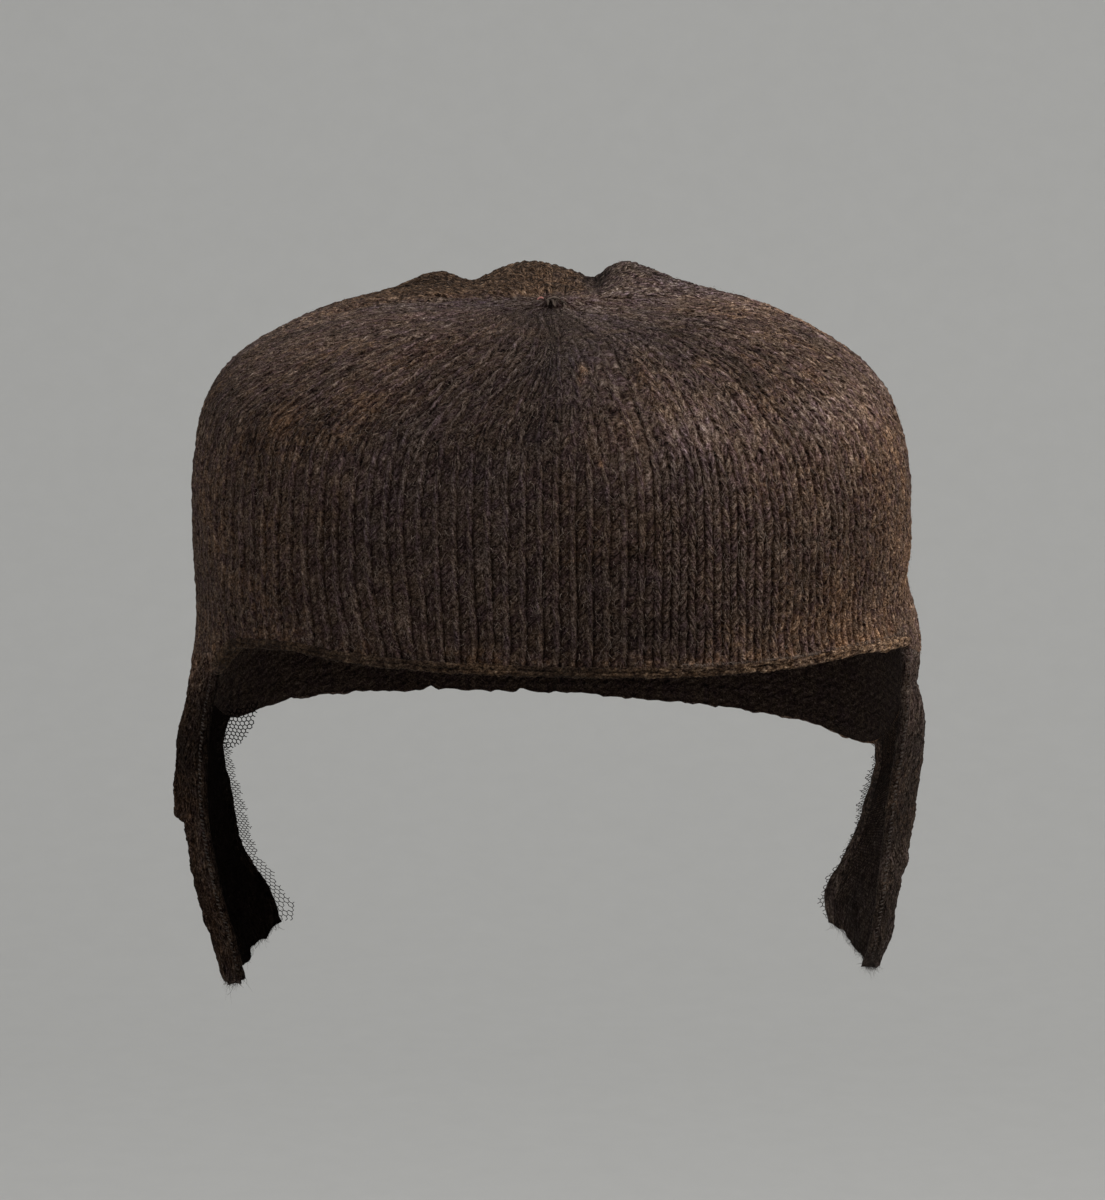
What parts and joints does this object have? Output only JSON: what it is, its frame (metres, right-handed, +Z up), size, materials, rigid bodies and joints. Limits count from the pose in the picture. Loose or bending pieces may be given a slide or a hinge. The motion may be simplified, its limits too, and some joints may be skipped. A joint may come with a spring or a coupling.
{
  "type": "knit cap",
  "caption": "Low domed wool cap knitted in the round, gathered to a point, with a corded brow edge, a deeper nape and two hanging ear flaps lined with fine net",
  "frame": {"origin": "where the cap sits on a head: the inside of the crown, under its gathered point", "axes": "+X the wearer's left side, on the right of a front view; +Y from the brow to the nape; +Z up"},
  "size_m": [0.1972, 0.176, 0.185],
  "materials": {
    "wool_knit": "fulled dark brown wool knitting, faded lighter brown on one side",
    "wool_edging": "worn lighter brown wool strands laid along the brow",
    "wool_flap": "fulled dark brown wool with a stitched front hem and ragged ends",
    "net": "fine dark six-sided net"
  },
  "bodies": {
    "root": {"crown": "wool_knit", "brow_edging": "wool_edging", "ear_flap_left": "wool_flap", "ear_flap_right": "wool_flap", "net_lining_left": "net", "net_lining_right": "net"}
  },
  "joints": []
}
